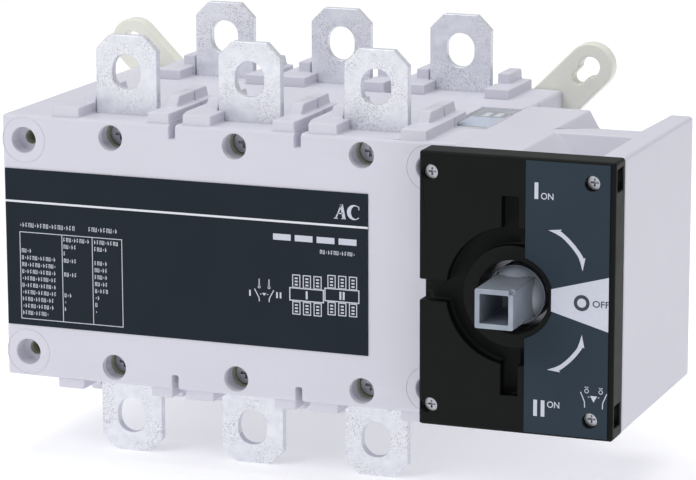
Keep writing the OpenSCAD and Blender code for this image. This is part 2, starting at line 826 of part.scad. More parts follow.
module cover_label_plate() {
    t = 0.5;
    color("#2c3842") in_frame() difference() {
        box(plate_x0, plate_x1, cover_y0 - t, cover_y0, cover_z0 + 1, cover_z0 + cover_h - 1);
        rod_y(shaft_x, mid_z, cover_hole_r + 2, cover_y0 - 2, cover_y0 + 1);
        for (z = cover_screw_z) rod_y(cover_screw_x[1], z, 2.8, cover_y0 - 2, cover_y0 + 1);
    }
}

module cover_screws() {
    color("dimgray") in_frame() for (x = cover_screw_x) for (z = cover_screw_z)
        screw_y(x, z, cover_y0 + 2.5, 2.6, 2.5, 1.55, 10.2);
}

// ---- drive ----
module handle_socket() {
    front = cover_y0 - socket_out;
    half = socket_w / 2;
    color("lightslategray") in_frame() difference() {
        union() {
            translate([shaft_x - half, 0, mid_z - half])
                round_block(0, socket_w, front, cover_y0 + 4, 0, socket_w, 0.7);
            translate([shaft_x, cover_y0, mid_z]) rotate([-90, 0, 0]) intersection() {
                cylinder(r1 = half, r2 = collar_r, h = 4, $fn = 64);
                cylinder(r = collar_r - 0.2, h = 4, $fn = 64);
            }
            rod_y(shaft_x, mid_z, collar_r, cover_y0 + 4, -2.5);
        }
        box(shaft_x - socket_in / 2, shaft_x + socket_in / 2, front - 1, front + 25,
            mid_z - socket_in / 2, mid_z + socket_in / 2);
        rod_y(shaft_x, mid_z, shaft_r, front + 27, 0);
        box(shaft_x + half - 1.6, shaft_x + half + 1, front - 1, front + 2.5,
            mid_z + half - 1.6, mid_z + half + 1);
    }
}

module drive_shaft() {
    color("silver") in_frame() difference() {
        rod_y(shaft_x, mid_z, shaft_r, cover_y0 - socket_out + 27, rear_box_y + 2.5);
        difference() {
            rod_y(shaft_x, mid_z, shaft_r + 1, rear_box_y + 0.4, rear_box_y + 1.5);
            rod_y(shaft_x, mid_z, shaft_r - 0.8, rear_box_y, rear_box_y + 2);
        }
    }
}

// pinion on the front side of a rotor's axis, which is axis_y behind the case's front
module pinion(axis_y) {
    difference() {
        union() {
            translate([shaft_x, axis_y - gear_r, mid_z]) rotate([-90, 0, 0])
                bevel_wheel(pinion_r, gear_r, pinion_teeth, 3, 0);
            rod_y(shaft_x, mid_z, 7, axis_y - gear_r - 6, axis_y - gear_r);
        }
        rod_y(shaft_x, mid_z, shaft_r, axis_y - gear_r - 7, axis_y);
    }
}

module front_pinion() {
    color("darkgray") in_frame() pinion(split_y);
}

module rear_pinion() {
    color("darkgray") in_frame() pinion(overall_d - split_y);
}

module stop_disc() {
    color("slategray") in_frame() difference() {
        union() {
            rod_y(shaft_x, mid_z, stop_r, stop_y, stop_y + stop_t);
            rod_y(shaft_x, mid_z, 7.5, stop_y - 3, stop_y + stop_t);
            translate([shaft_x, stop_y + stop_t, mid_z]) rotate([90, 0, 0]) linear_extrude(stop_t)
                polygon([[0, 0], stop_lug_r * [cos(8), sin(8)], [stop_lug_r + 0.2, 0],
                    stop_lug_r * [cos(8), -sin(8)]]);
        }
        rod_y(shaft_x, mid_z, shaft_r, stop_y - 4, stop_y + stop_t + 1);
    }
}

module retaining_ring() {
    color("dimgray") in_frame() difference() {
        rod_y(shaft_x, mid_z, shaft_r + 1.8, rear_box_y + 0.5, rear_box_y + 1.4);
        rod_y(shaft_x, mid_z, shaft_r - 0.7, rear_box_y, rear_box_y + 2);
        box(shaft_x - 2, shaft_x + 2, rear_box_y, rear_box_y + 2, mid_z - 9, mid_z);
    }
}

// spring coiled round the drive shaft, between the stop disc and the rear pinion
spring_r = 9;
spring_wire = 0.9;
spring_turns = 5;
spring_y = [57.5, 69.5];
spring_steps = 20;
spring_sides = 8;

module drive_spring() {
    rings = spring_turns * spring_steps;
    pitch = (spring_y[1] - spring_y[0]) / rings;
    points = [for (i = [0 : rings]) for (j = [0 : spring_sides - 1])
        let (a = i * 360 / spring_steps, b = j * 360 / spring_sides, r = spring_r + spring_wire * cos(b))
        [r * cos(a), spring_y[0] + i * pitch + spring_wire * sin(b), r * sin(a)]];
    sides = [for (i = [0 : rings - 1]) for (j = [0 : spring_sides - 1])
        let (k = (j + 1) % spring_sides, a = i * spring_sides, b = a + spring_sides)
        [a + j, b + j, b + k, a + k]];
    ends = [[for (j = [0 : spring_sides - 1]) j],
        [for (j = [0 : spring_sides - 1]) (rings + 1) * spring_sides - 1 - j]];
    color("dimgray") in_frame() translate([shaft_x, 0, mid_z])
        polyhedron(points = points, faces = concat(sides, ends), convexity = 8);
}

// ---- position window ----
module indicator_window() {
    color("aliceblue") in_frame() box(win_x0 + 0.1, win_x1 - 0.1, win_y0 + 0.1, win_y1 - 0.1,
        case_h - 1.8, case_h - 0.4);
}

module indicator_slide() {
    color("white") in_frame() {
        box(win_x0 + 0.8, win_x1 - 0.8, win_y0 + slide_travel + 0.3, win_y1 - slide_travel - 0.3,
            win_floor + 0.2, win_floor + 2.8);
    }
}

// ---- feet ----
// a foot lies at 45 degrees, away from its own corner of the case
module foot(side, top) {
    angle = top == 1 ? (side == 0 ? 135 : 45) : (side == 0 ? 225 : 315);
    y0 = wall_y - foot_t;
    color("beige") in_frame() translate([foot_pivot[side], 0, foot_z(top)]) rotate([0, -angle, 0])
        difference() {
            union() {
                rod_y(0, 0, foot_r, y0, wall_y);
                rod_y(foot_len, 0, foot_r, y0, wall_y);
                box(0, foot_len, y0, wall_y, -foot_r, foot_r);
            }
            rod_y(0, 0, foot_screw_r + 0.08, y0 - 1, wall_y + 1);
            rod_y(0, 0, 5, wall_y - 4, wall_y + 1);
            rod_y(foot_len, 0, keyhole_r, y0 - 1, wall_y + 1);
            box(foot_len - 6.2, foot_len, y0 - 1, wall_y + 1, -keyhole_slot_r, keyhole_slot_r);
            rod_y(foot_len - 6.2, 0, keyhole_slot_r, y0 - 1, wall_y + 1);
        }
}

module foot_top_left() {
    foot(0, 1);
}

module foot_top_right() {
    foot(1, 1);
}

module foot_bottom_left() {
    foot(0, 0);
}

module foot_bottom_right() {
    foot(1, 0);
}

module foot_screws() {
    color("silver") in_frame() for (x = foot_pivot) for (top = [0, 1]) difference() {
        union() {
            rod_y(x, foot_z(top), 4.4, wall_y - 3.9, wall_y - 0.7);
            rod_y(x, foot_z(top), foot_screw_r, pocket_y, wall_y - 3.9);
            rod_y(x, foot_z(top), 2.25, pocket_y - 10, pocket_y);
        }
        box(x - 0.6, x + 0.6, wall_y - 2, wall_y, foot_z(top) - 5, foot_z(top) + 5);
    }
}

front_switch_cover();
front_switch_base();
rear_switch_base();
rear_switch_cover();
rating_label();
front_top_terminals();
front_bottom_terminals();
rear_top_terminals();
rear_bottom_terminals();
front_fixed_contacts();
rear_fixed_contacts();
front_rotor();
front_moving_contacts();
front_contact_springs();
front_rotor_gear();
rear_rotor();
rear_moving_contacts();
rear_contact_springs();
rear_rotor_gear();
front_arc_plates();
rear_arc_plates();
front_arc_cheeks();
rear_arc_cheeks();
terminal_screws();
tie_bolts();
mechanism_housing();
mechanism_rear_cover();
bearing_plate();
bearing_plate_screws();
front_bush();
rear_bush();
stop_pins();
mechanism_cover();
cover_label_plate();
cover_screws();
handle_socket();
drive_shaft();
front_pinion();
rear_pinion();
stop_disc();
retaining_ring();
drive_spring();
indicator_window();
indicator_slide();
foot_top_left();
foot_top_right();
foot_bottom_left();
foot_bottom_right();
foot_screws();
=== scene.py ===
"""Looks of a manual changeover switch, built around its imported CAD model.

Lengths named in the script are millimetres in the switch's own coordinates: x from the left end
of the case, y from its front face towards the wall, z up from its underside.
"""
import json
import math

import bmesh
import bpy
from mathutils import Matrix, Vector

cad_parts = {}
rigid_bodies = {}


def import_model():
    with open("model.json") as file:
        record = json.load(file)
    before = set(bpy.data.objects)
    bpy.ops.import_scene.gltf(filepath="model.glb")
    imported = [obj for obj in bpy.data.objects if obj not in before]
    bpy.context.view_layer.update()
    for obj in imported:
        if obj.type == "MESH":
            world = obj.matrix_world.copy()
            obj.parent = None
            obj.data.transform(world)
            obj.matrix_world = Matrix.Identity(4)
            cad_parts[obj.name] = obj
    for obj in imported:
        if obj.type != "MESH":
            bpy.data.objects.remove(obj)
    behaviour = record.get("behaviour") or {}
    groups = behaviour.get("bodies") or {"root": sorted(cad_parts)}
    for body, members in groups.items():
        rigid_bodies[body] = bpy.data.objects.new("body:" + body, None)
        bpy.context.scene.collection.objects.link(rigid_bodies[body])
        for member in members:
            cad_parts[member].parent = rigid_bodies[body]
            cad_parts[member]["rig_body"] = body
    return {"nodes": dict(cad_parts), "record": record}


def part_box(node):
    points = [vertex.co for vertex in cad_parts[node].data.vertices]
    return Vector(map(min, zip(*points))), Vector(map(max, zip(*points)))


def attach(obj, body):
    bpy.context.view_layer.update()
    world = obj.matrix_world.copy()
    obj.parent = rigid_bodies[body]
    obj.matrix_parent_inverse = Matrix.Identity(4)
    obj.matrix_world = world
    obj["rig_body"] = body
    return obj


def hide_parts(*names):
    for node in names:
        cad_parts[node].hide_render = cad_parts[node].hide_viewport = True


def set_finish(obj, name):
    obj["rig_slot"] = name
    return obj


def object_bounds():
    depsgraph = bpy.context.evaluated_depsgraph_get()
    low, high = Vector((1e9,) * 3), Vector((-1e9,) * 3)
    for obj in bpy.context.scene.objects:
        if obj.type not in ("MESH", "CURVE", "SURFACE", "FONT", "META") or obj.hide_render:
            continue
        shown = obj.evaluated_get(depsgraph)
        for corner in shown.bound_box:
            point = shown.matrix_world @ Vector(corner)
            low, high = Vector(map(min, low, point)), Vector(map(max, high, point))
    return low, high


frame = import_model()
cad_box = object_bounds()

MM = 0.001
NODES = frame["nodes"]
BODY_OF = {n: b for b, ns in frame["record"]["behaviour"]["bodies"].items() for n in ns}
SLOT_OF = {s["node"]: s["material_slot"] for s in frame["record"]["subparts"]}

# ---- places worked out from the frame ----
case_low, case_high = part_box("rear_switch_base")
front_low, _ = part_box("front_switch_cover")
ORIGIN = Vector((case_low.x, front_low.y, case_low.z))
CASE_W = (case_high.x - case_low.x) / MM
CASE_H = (case_high.z - case_low.z) / MM
MID_Z = CASE_H / 2


def at(x, y, z):
    """The point in the row frame, in metres, of a place in the switch's own coordinates."""
    return ORIGIN + Vector((x, y, z)) * MM


def own(point):
    """A point of the row frame in the switch's own coordinates."""
    return (point - ORIGIN) / MM


def own_box(node):
    low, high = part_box(node)
    return own(low), own(high)


shaft_low, shaft_high = own_box("drive_shaft")
SHAFT_X = (shaft_low.x + shaft_high.x) / 2
COVER_LOW, COVER_HIGH = own_box("mechanism_cover")
PLATE_LOW, PLATE_HIGH = own_box("cover_label_plate")
LABEL_LOW, LABEL_HIGH = own_box("rating_label")
BAR_LOW, BAR_HIGH = own_box("front_top_terminals")
POLE_PITCH = 50
POLES = [(BAR_LOW.x + BAR_HIGH.x) / 2 + POLE_PITCH * i for i in (-1, 0, 1)]


# ---- materials ----
class Shader:
    """A Principled material and the few nodes that give it colour variation, gloss and bump."""

    def __init__(self, name, colour, rough, metal=0.0):
        self.material = bpy.data.materials.new(name)
        self.material.use_nodes = True
        self.tree = self.material.node_tree
        self.bsdf = self.tree.nodes["Principled BSDF"]
        self.bsdf.inputs["Base Color"].default_value = (*colour, 1)
        self.bsdf.inputs["Roughness"].default_value = rough
        self.bsdf.inputs["Metallic"].default_value = metal
        self.coords = self.tree.nodes.new("ShaderNodeTexCoord").outputs["Object"]
        self.bump = None

    def link(self, a, b):
        self.tree.links.new(a, b)

    def noise(self, scale, detail=3.0, stretch=(1, 1, 1)):
        mapping = self.tree.nodes.new("ShaderNodeMapping")
        mapping.inputs["Scale"].default_value = stretch
        self.link(self.coords, mapping.inputs["Vector"])
        node = self.tree.nodes.new("ShaderNodeTexNoise")
        node.inputs["Scale"].default_value = scale
        node.inputs["Detail"].default_value = detail
        self.link(mapping.outputs["Vector"], node.inputs["Vector"])
        return node.outputs["Fac"]

    def cells(self, scale):
        node = self.tree.nodes.new("ShaderNodeTexVoronoi")
        node.inputs["Scale"].default_value = scale
        self.link(self.coords, node.inputs["Vector"])
        return node.outputs["Color"], node.outputs["Distance"]

    def ramp(self, fac, stops):
        node = self.tree.nodes.new("ShaderNodeValToRGB")
        points = node.color_ramp.elements
        while len(points) < len(stops):
            points.new(0.5)
        for point, (place, colour) in zip(points, stops):
            point.position = place
            point.color = (*colour, 1) if len(colour) == 3 else colour
        self.link(fac, node.inputs["Fac"])
        return node.outputs["Color"]

    def spread(self, fac, low, high):
        node = self.tree.nodes.new("ShaderNodeMapRange")
        node.inputs["To Min"].default_value = low
        node.inputs["To Max"].default_value = high
        self.link(fac, node.inputs["Value"])
        return node.outputs["Result"]

    def mix(self, fac, a, b):
        node = self.tree.nodes.new("ShaderNodeMix")
        node.data_type = "RGBA"
        self.link(fac, node.inputs[0])
        self.link(a, node.inputs[6])
        self.link(b, node.inputs[7])
        return node.outputs[2]

    def height(self, fac, distance, strength):
        node = self.tree.nodes.new("ShaderNodeBump")
        node.inputs["Distance"].default_value = distance
        node.inputs["Strength"].default_value = strength
        self.link(fac, node.inputs["Height"])
        if self.bump is not None:
            self.link(self.bump, node.inputs["Normal"])
        self.bump = node.outputs["Normal"]
        self.link(self.bump, self.bsdf.inputs["Normal"])


def shade(colour, factor):
    return tuple(min(1.0, c * factor) for c in colour)


def linear(*srgb):
    """Linear colour of an 8-bit sRGB one."""
    out = []
    for value in srgb:
        c = value / 255
        out.append(c / 12.92 if c <= 0.04045 else ((c + 0.055) / 1.055) ** 2.4)
    return tuple(out)


def moulded(name, colour, rough, grain=0.3, patch=0.04):
    """Moulded plastic: slow tone changes over the surface, and a fine spark-eroded grain."""
    s = Shader(name, colour, rough)
    tone = s.ramp(s.noise(22, 4), [(0.3, shade(colour, 1 - patch)), (0.7, shade(colour, 1 + patch))])
    s.link(tone, s.bsdf.inputs["Base Color"])
    s.link(s.spread(s.noise(160, 5), rough - 0.06, rough + 0.06), s.bsdf.inputs["Roughness"])
    s.height(s.noise(2600, 2), 0.00005, grain)
    return s


def case_plastic():
    s = moulded("case_plastic", linear(216, 215, 226), 0.42, grain=0.18, patch=0.015)
    s.bsdf.inputs["Subsurface Weight"].default_value = 0.08
    s.bsdf.inputs["Subsurface Radius"].default_value = (0.003, 0.0026, 0.0022)
    s.bsdf.inputs["Specular IOR Level"].default_value = 0.42
    return s.material


# painted shade: a dark olive plastic that stands in for the shade inside the screw holes
def painted_recess_shade():
    return moulded("painted_recess_shade", linear(158, 160, 138), 0.5, patch=0.1).material


def cover_plastic():
    s = moulded("cover_plastic", linear(9, 11, 10), 0.5, grain=0.4, patch=0.12)
    s.bsdf.inputs["Specular IOR Level"].default_value = 0.15
    return s.material


def label_film(name, colour):
    s = Shader(name, colour, 0.4)
    s.bsdf.inputs["Specular IOR Level"].default_value = 0.12
    tone = s.ramp(s.noise(30, 3), [(0.3, shade(colour, 0.93)), (0.7, shade(colour, 1.08))])
    s.link(tone, s.bsdf.inputs["Base Color"])
    s.height(s.noise(900, 2), 0.00004, 0.12)
    s.link(s.spread(s.noise(70, 4), 0.28, 0.42), s.bsdf.inputs["Roughness"])
    return s.material


def print_ink(name, colour):
    s = Shader(name, colour, 0.5)
    tone = s.ramp(s.noise(700, 3), [(0.35, shade(colour, 0.96)), (0.65, colour)])
    s.link(tone, s.bsdf.inputs["Base Color"])
    return s.material


def tin():
    """Tin plating: bright and matt, with fine dark and light grains."""
    bright = linear(236, 237, 244)
    s = Shader("tin_plate", bright, 0.42, metal=0.65)
    cell_colour, _ = s.cells(2300)
    grey = s.tree.nodes.new("ShaderNodeRGBToBW")
    s.link(cell_colour, grey.inputs["Color"])
    grains = s.ramp(grey.outputs["Val"], [(0.12, linear(196, 196, 208)), (0.3, linear(224, 225, 233)),
                                          (0.8, linear(246, 247, 250))])
    clear = s.ramp(s.noise(70, 2), [(0.42, (0, 0, 0)), (0.6, (1, 1, 1))])
    plain = s.ramp(s.noise(260, 4), [(0.3, linear(226, 228, 236)), (0.7, linear(244, 245, 250))])
    s.link(s.mix(clear, grains, plain), s.bsdf.inputs["Base Color"])
    s.link(s.spread(s.noise(420, 5), 0.3, 0.56), s.bsdf.inputs["Roughness"])
    s.height(s.noise(1500, 4), 0.00006, 0.35)
    s.height(s.noise(240, 3, (1, 1, 0.25)), 0.00012, 0.15)
    return s.material


def steel(name, colour, rough, brushed=True, metal=1.0):
    s = Shader(name, colour, rough, metal=metal)
    tone = s.ramp(s.noise(90, 5), [(0.3, shade(colour, 0.82)), (0.7, shade(colour, 1.12))])
    s.link(tone, s.bsdf.inputs["Base Color"])
    s.link(s.spread(s.noise(300, 4), rough - 0.08, rough + 0.1), s.bsdf.inputs["Roughness"])
    stretch = (1, 0.06, 1) if brushed else (1, 1, 1)
    s.height(s.noise(1400, 3, stretch), 0.00004, 0.3)
    return s.material


def nylon():
    s = moulded("foot_nylon", linear(236, 237, 226), 0.38, grain=0.15, patch=0.03)
    s.bsdf.inputs["Subsurface Weight"].default_value = 0.35
    s.bsdf.inputs["Subsurface Radius"].default_value = (0.006, 0.0055, 0.004)
    return s.material


def clear_plastic():
    s = Shader("clear_window", (0.9, 0.93, 0.97), 0.12)
    s.bsdf.inputs["Alpha"].default_value = 0.3
    s.height(s.noise(60, 2), 0.0001, 0.05)
    return s.material


MATERIALS = {
    "case_plastic": case_plastic(),
    "label_film": label_film("label_film", linear(28, 37, 46)),
    "dial_film": label_film("dial_film", linear(44, 57, 68)),
    "tinned_copper": tin(),
    "contact_silver": steel("contact_silver", linear(226, 224, 216), 0.3, brushed=False),
    "contact_copper": steel("contact_copper", linear(214, 138, 102), 0.32),
    "rotor_plastic": moulded("rotor_plastic", linear(92, 58, 42), 0.5).material,
    "spring_steel": steel("spring_steel", linear(118, 120, 124), 0.35),
    "gear_steel": steel("gear_steel", linear(146, 148, 152), 0.42, brushed=False),
    "arc_steel": steel("arc_steel", linear(168, 170, 174), 0.4),
    "fibre": moulded("pressed_fibre", linear(190, 170, 126), 0.75, patch=0.12).material,
    "screw_steel": steel("screw_steel", linear(182, 184, 190), 0.32),
    "bush_bronze": steel("bush_bronze", linear(196, 148, 78), 0.38, brushed=False),
    "cover_plastic": cover_plastic(),
    "drive_steel": steel("drive_steel", linear(158, 166, 178), 0.48, metal=0.6),
    "clear_plastic": clear_plastic(),
    "indicator_plastic": moulded("indicator_plastic", linear(62, 66, 82), 0.45).material,
    "foot_plastic": nylon(),
}
# painted shade for the insides of the screw holes
PAINTED_RECESS_SHADE = painted_recess_shade()
INK_LIGHT = print_ink("ink_light", linear(206, 209, 222))
INK_WHITE = print_ink("ink_white", linear(228, 230, 238))
INK_DARK = print_ink("ink_dark", linear(46, 56, 66))
INK_BLUE = print_ink("ink_blue", linear(186, 200, 226))


# ---- building ----
def add_piece(name, mesh, body, slot, material, smooth=True):
    obj = bpy.data.objects.new(name, mesh)
    bpy.context.scene.collection.objects.link(obj)
    mesh.materials.clear()
    mesh.materials.append(material)
    for polygon in mesh.polygons:
        polygon.use_smooth = smooth
    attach(obj, body)
    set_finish(obj, slot)
    return obj


def bevel(obj, width):
    """Round off the edges that have a bevel weight, and shade the flat faces flat."""
    modifier = obj.modifiers.new("edges", "BEVEL")
    modifier.width = width * MM
    modifier.segments = 2
    modifier.limit_method = "WEIGHT"
    modifier.use_clamp_overlap = False
    modifier.miter_outer = "MITER_ARC"
    normals = obj.modifiers.new("normals", "WEIGHTED_NORMAL")
    normals.weight = 100
    normals.keep_sharp = True


def slice_faces(bm, axis, places, low, high):
    """Cut the flat faces along planes, so that none of them has to go round a hole."""
    margin = 0.05
    for place in places:
        if low + margin < place < high - margin:
            normal = Vector([1.0 if i == axis else 0.0 for i in range(3)])
            geom = list(bm.verts) + list(bm.edges) + list(bm.faces)
            cut = bmesh.ops.bisect_plane(bm, geom=geom, dist=1e-7, plane_co=at(place, place, place),
                                         plane_no=normal)
            for item in cut["geom_cut"]:
                if isinstance(item, bmesh.types.BMEdge):
                    item.seam = True


def refined(node, width, cuts, left_sharp):
    """A piece with the CAD node's shape as clean faces, and its edges rounded off.

    Edges whose middle lies inside a box of left_sharp stay as they are."""
    bm = bmesh.new()
    bm.from_mesh(NODES[node].data)
    bmesh.ops.remove_doubles(bm, verts=bm.verts, dist=2e-6)
    for edge in bm.edges:
        edge.seam = False
    low, high = own_box(node)
    for axis in range(3):
        slice_faces(bm, axis, cuts[axis], low[axis], high[axis])
    bmesh.ops.dissolve_limit(bm, angle_limit=math.radians(0.8), verts=bm.verts, edges=bm.edges,
                             delimit={"SEAM"})
    bmesh.ops.recalc_face_normals(bm, faces=bm.faces)
    weight = bm.edges.layers.float.new("bevel_weight_edge")
    for edge in bm.edges:
        sharp = len(edge.link_faces) == 2 and edge.calc_face_angle(0) > math.radians(28)
        middle = own((edge.verts[0].co + edge.verts[1].co) / 2)
        left = any(all(b[0][i] <= middle[i] <= b[1][i] for i in range(3)) for b in left_sharp)
        edge[weight] = 1.0 if sharp and not left else 0.0
    mesh = bpy.data.meshes.new(node + "_skin")
    bm.to_mesh(mesh)
    bm.free()
    piece = add_piece(node + "_skin", mesh, BODY_OF[node], SLOT_OF[node], MATERIALS[SLOT_OF[node]])
    bevel(piece, width)
    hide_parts(node)


def prism(bm, outline, y0, y1):
    """A flat solid between two depths; outline is a list of (x, z) in own coordinates."""
    front = [bm.verts.new(at(x, y0, z)) for x, z in outline]
    back = [bm.verts.new(at(x, y1, z)) for x, z in outline]
    bm.faces.new(front)
    bm.faces.new(reversed(back))
    count = len(outline)
    for i in range(count):
        j = (i + 1) % count
        bm.faces.new((front[j], front[i], back[i], back[j]))


def rectangle(x0, x1, z0, z1):
    return [(x0, z0), (x1, z0), (x1, z1), (x0, z1)]


def arc_points(cx, cz, r, a0, a1, steps):
    angles = [math.radians(a0 + (a1 - a0) * i / steps) for i in range(steps + 1)]
    return [(cx + r * math.cos(a), cz + r * math.sin(a)) for a in angles]


def band(cx, cz, r_in, r_out, a0, a1, steps=24):
    return arc_points(cx, cz, r_out, a0, a1, steps) + arc_points(cx, cz, r_in, a1, a0, steps)


def stroke(x0, z0, x1, z1, width):
    """Outline of a straight line of that width."""
    dx, dz = x1 - x0, z1 - z0
    length = math.hypot(dx, dz)
    nx, nz = -dz / length * width / 2, dx / length * width / 2
    return [(x0 + nx, z0 + nz), (x0 - nx, z0 - nz), (x1 - nx, z1 - nz), (x1 + nx, z1 + nz)]


def flat_piece(name, outlines, y0, y1, body, slot, material):
    bm = bmesh.new()
    for outline in outlines:
        prism(bm, outline, y0, y1)
    bmesh.ops.recalc_face_normals(bm, faces=bm.faces)
    mesh = bpy.data.meshes.new(name)
    bm.to_mesh(mesh)
    bm.free()
    return add_piece(name, mesh, body, slot, material, smooth=False)


def lettering(name, text, x, y, z, height, width, body, slot, material):
    """Text of that height and width on a face at depth y, with its lower left corner at (x, z)."""
    curve = bpy.data.curves.new(name, "FONT")
    curve.body = text
    curve.size = 1.0
    curve.extrude = 0.02
    curve.offset = 0.008
    temp = bpy.data.objects.new(name + "_text", curve)
    bpy.context.scene.collection.objects.link(temp)
    bpy.context.view_layer.update()
    mesh = bpy.data.meshes.new_from_object(temp.evaluated_get(bpy.context.evaluated_depsgraph_get()))
    bpy.data.objects.remove(temp)
    low = Vector([min(v.co[i] for v in mesh.vertices) for i in range(3)])
    high = Vector([max(v.co[i] for v in mesh.vertices) for i in range(3)])
    for v in mesh.vertices:
        across = (v.co.x - low.x) / (high.x - low.x) * width
        up = (v.co.y - low.y) / (high.y - low.y) * height
        v.co = at(x + across, y - v.co.z * 2, z + up)
    return add_piece(name, mesh, body, slot, material, smooth=False)


def turned(name, outline, centre, body, slot, material, steps=48):
    """A ring turned about a line along Y: outline is a closed list of (radius, y)."""
    bm = bmesh.new()
    rings = []
    for i in range(steps):
        a = 2 * math.pi * i / steps
        rings.append([bm.verts.new(at(centre[0] + r * math.cos(a), y, centre[1] + r * math.sin(a)))
                      for r, y in outline])
    count = len(outline)
    for i in range(steps):
        here, there = rings[i], rings[(i + 1) % steps]
        for j in range(count):
            k = (j + 1) % count
            bm.faces.new((here[j], here[k], there[k], there[j]))
    bmesh.ops.recalc_face_normals(bm, faces=bm.faces)
    mesh = bpy.data.meshes.new(name)
    bm.to_mesh(mesh)
    bm.free()
    return add_piece(name, mesh, body, slot, material)


def joined(name, pieces):
    """Several pieces of one material and body as one."""
    bm = bmesh.new()
    for piece in pieces:
        bm.from_mesh(piece.data)
    mesh = bpy.data.meshes.new(name)
    bm.to_mesh(mesh)
    bm.free()
    first = pieces[0]
    material = first.data.materials[0]
    body, slot = first["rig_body"], first["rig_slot"]
    smooth = first.data.polygons[0].use_smooth
    for piece in pieces:
        bpy.data.objects.remove(piece)
    return add_piece(name, mesh, body, slot, material, smooth)


# ---- carried-over CAD nodes ----
def paint_cad_nodes():
    for name, obj in NODES.items():
        obj.data.materials.clear()
        obj.data.materials.append(MATERIALS[SLOT_OF[name]])


# radius of the rounded edges of each piece
EDGES = {
    "front_switch_cover": 0.5, "front_switch_base": 0.4, "rear_switch_base": 0.4,
    "rear_switch_cover": 0.45, "mechanism_housing": 0.7, "mechanism_rear_cover": 0.6,
    "front_top_terminals": 0.35, "front_bottom_terminals": 0.35, "rear_top_terminals": 0.35,
    "rear_bottom_terminals": 0.35, "mechanism_cover": 0.45, "cover_label_plate": 0.12,
    "handle_socket": 0.35, "foot_top_left": 0.9, "foot_top_right": 0.9,
    "foot_bottom_left": 0.9, "foot_bottom_right": 0.9, "foot_screws": 0.3,
    "rating_label": 0.06, "indicator_slide": 0.2,
}

# ---- where the faces of the shells are cut, in own coordinates ----
BOUNDS = [POLES[0] - POLE_PITCH / 2 + POLE_PITCH * i for i in range(4)]
GROOVE = 5.5
STEP_X = 165
HOLE_IN = 9
HOLE_IN_RIGHT = 11
HOLE_UP = 9.5
POLE_SCREW_UP = 6.5
COVER_SCREWS_X = (176.9, 236.9)
COVER_SCREWS_Z = (8, 93.2)
HOLES_X = (HOLE_IN, *POLES, BOUNDS[1], BOUNDS[2], CASE_W - HOLE_IN_RIGHT)
FROM_EDGE = (1.6, GROOVE, POLE_SCREW_UP, HOLE_UP, 15)
HOLES_Z = (*FROM_EDGE, *[CASE_H - up for up in reversed(FROM_EDGE)])
CUTS = {
    "front_switch_cover": (HOLES_X, (3, 15), HOLES_Z),
    "rear_switch_cover": (HOLES_X, (112, 124), HOLES_Z),
    "front_switch_base": ((POLES[0], BOUNDS[1], POLES[1], BOUNDS[2], POLES[2], STEP_X), (),
                          (3, GROOVE, MID_Z, CASE_H - GROOVE)),
    "rear_switch_base": ((), (), (3, MID_Z)),
    "mechanism_cover": ((COVER_SCREWS_X[0], SHAFT_X, COVER_SCREWS_X[1]), (),
                        (COVER_SCREWS_Z[0], MID_Z, COVER_SCREWS_Z[1])),
    "cover_label_plate": ((COVER_SCREWS_X[1],), (), (COVER_SCREWS_Z[0], MID_Z, COVER_SCREWS_Z[1])),
    "mechanism_housing": ((), (), (COVER_SCREWS_Z[0], 12, MID_Z, 68, COVER_SCREWS_Z[1])),
    "mechanism_rear_cover": ((SHAFT_X,), (), (MID_Z,)),
}
TERMINAL_CUTS = (POLES, (), (-16, CASE_H + 16))

# ---- edges that aren't rounded off ----
# those inside the hollow shells, which nobody sees
SHELLS = {"front_switch_cover": (2.2, 32.5), "front_switch_base": (31, 64.2),
          "rear_switch_base": (62.8, 96), "rear_switch_cover": (94.5, 124.8)}
INSIDE = {node: [(Vector((0.8, y0, 2.4)), Vector((CASE_W - 0.8, y1, CASE_H - 2.4)))]
          for node, (y0, y1) in SHELLS.items()}
INSIDE.update({
    "mechanism_cover": [(COVER_LOW + Vector((0.5, 2.6, 0.5)), COVER_HIGH + Vector((-0.5, 0.5, -0.5)))],
    "mechanism_housing": [(Vector((CASE_W + 1, -5, 2.2)), Vector((244.6, 83.6, 79))),
                          (Vector((CASE_W + 1, -5, 79)), Vector((204.5, 83.6, 99.8)))],
})
# the seam between case and housing, two corners of the case under the cover, and the mouths of the
# pole recesses
FLUSH = [(Vector((CASE_W - 0.3, -6, CASE_H - 1)), Vector((CASE_W + 0.3, 84, CASE_H + 1))),
         (Vector((CASE_W - 3.5, -0.5, -0.5)), Vector((CASE_W + 0.5, 3.5, 3.5))),
         (Vector((CASE_W - 3.5, -0.5, CASE_H - 3.5)), Vector((CASE_W + 0.5, 3.5, CASE_H + 0.5)))]
WALL_SIDE = 127
for pole in POLES:
    for up in (POLE_SCREW_UP, CASE_H - POLE_SCREW_UP):
        for depth in (0, WALL_SIDE):
            mouth = Vector((pole, depth, up))
            reach = Vector((5.2, 0.5, 5.2))
            FLUSH.append((mouth - reach, mouth + reach))


def shells():
    for node, width in EDGES.items():
        cuts = TERMINAL_CUTS if node.endswith("_terminals") else CUTS.get(node, ((), (), ()))
        refined(node, width, cuts, FLUSH + INSIDE.get(node, []))


# ---- moulded details of the front, and painted shade inside its screw holes ----
POLE_R = 4.85


def corner_places():
    return [(x, z) for x in (HOLE_IN, CASE_W - HOLE_IN_RIGHT) for z in (HOLE_UP, CASE_H - HOLE_UP)]


